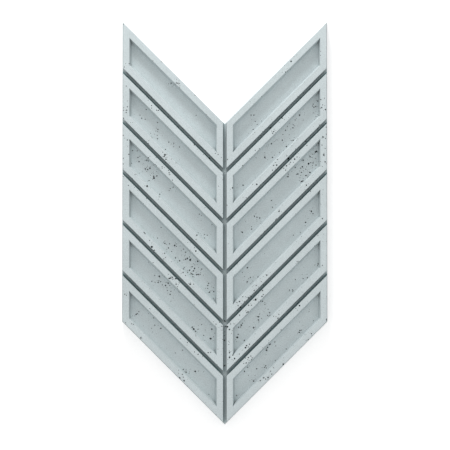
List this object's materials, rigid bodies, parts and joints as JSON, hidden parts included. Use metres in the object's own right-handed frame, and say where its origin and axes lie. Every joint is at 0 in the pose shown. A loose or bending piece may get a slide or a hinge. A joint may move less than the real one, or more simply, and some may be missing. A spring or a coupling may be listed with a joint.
{
  "type": "textured concrete wall panel",
  "caption": "Arrow-shaped cast concrete wall panel; sloping grooves and a middle groove part its face into raised frames with sunken trays, and its flat back bonds to a wall.",
  "frame": {"origin": "middle of the bounding box of the back face", "axes": "+Z out of the patterned face, +Y along the panel from the tip to the notched end, +X to the right of the face"},
  "size_m": [0.4068, 0.7996, 0.03],
  "materials": {
    "concrete": "matt cast concrete with open air pores"
  },
  "bodies": {
    "root": {"concrete_panel": "concrete"}
  },
  "joints": []
}
